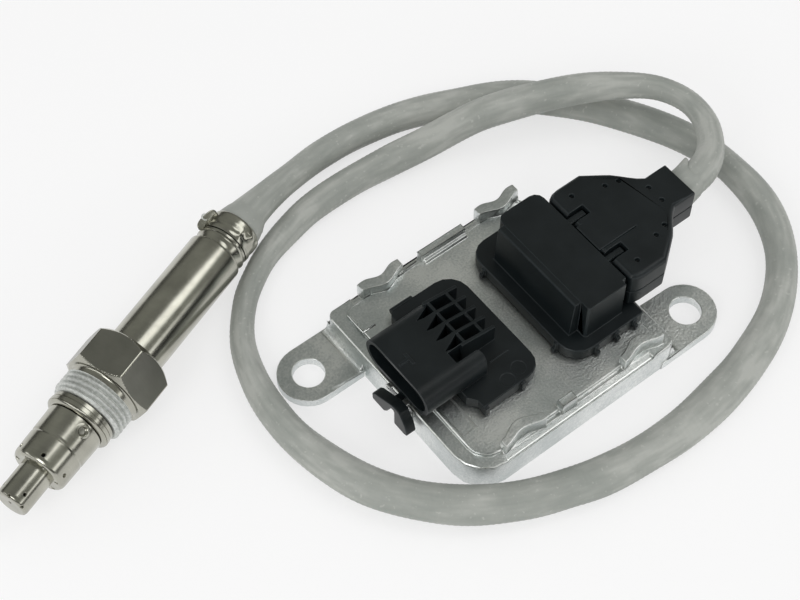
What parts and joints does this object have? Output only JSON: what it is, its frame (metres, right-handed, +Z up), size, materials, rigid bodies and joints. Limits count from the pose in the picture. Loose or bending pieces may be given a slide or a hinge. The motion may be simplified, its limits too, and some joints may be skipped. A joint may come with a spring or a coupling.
{
  "type": "nitrogen oxide sensor",
  "caption": "Exhaust gas sensor: screw-in stainless probe joined by a sleeved cable to a flat die-cast control unit with mounting ears and a vehicle connector.",
  "frame": {"origin": "midway between the two ear holes, on the underside of the control unit", "axes": "+Z up from the base plate, +X along the ears from the vehicle connector towards the probe plug, +Y towards the side where the probe lies"},
  "size_m": [0.2169, 0.1334, 0.0281],
  "materials": {
    "die_cast_aluminium": "satin",
    "aluminium_sheet": "satin",
    "stainless_steel": "gloss",
    "black_polyester": "satin",
    "black_rubber": "matte",
    "grey_sleeve": "satin",
    "tinned_brass": "gloss",
    "circuit_board_green": "satin",
    "white_ceramic": "satin"
  },
  "bodies": {
    "root": {"housing": "die_cast_aluminium", "base_plate": "aluminium_sheet", "base_seal": "black_rubber", "base_screw_0": "stainless_steel", "base_screw_1": "stainless_steel", "base_screw_2": "stainless_steel", "base_screw_3": "stainless_steel", "circuit_board": "circuit_board_green", "vehicle_header": "black_polyester", "vehicle_seal": "black_rubber", "vehicle_pin_0": "tinned_brass", "vehicle_pin_1": "tinned_brass", "vehicle_pin_2": "tinned_brass", "vehicle_pin_3": "tinned_brass", "lock_clip": "black_polyester", "probe_header": "black_polyester", "probe_header_seal": "black_rubber", "probe_pin_0": "tinned_brass", "probe_pin_1": "tinned_brass", "probe_pin_2": "tinned_brass", "probe_pin_3": "tinned_brass", "probe_pin_4": "tinned_brass", "probe_pin_5": "tinned_brass", "probe_pin_6": "tinned_brass", "probe_pin_7": "tinned_brass", "plug_carrier": "black_polyester", "plug_top_shell": "black_polyester", "plug_bottom_shell": "black_polyester", "cable_sleeve": "grey_sleeve", "cable_grommet": "black_rubber", "crimp_band": "stainless_steel", "probe_tube": "stainless_steel", "hexagon_body": "stainless_steel", "sealing_collar": "stainless_steel", "outer_cap": "stainless_steel", "inner_cap": "stainless_steel", "sensing_element": "white_ceramic", "front_ceramic_bush": "white_ceramic", "talc_ring": "white_ceramic", "rear_ceramic_bush": "white_ceramic", "contact_holder": "white_ceramic"}
  },
  "joints": []
}
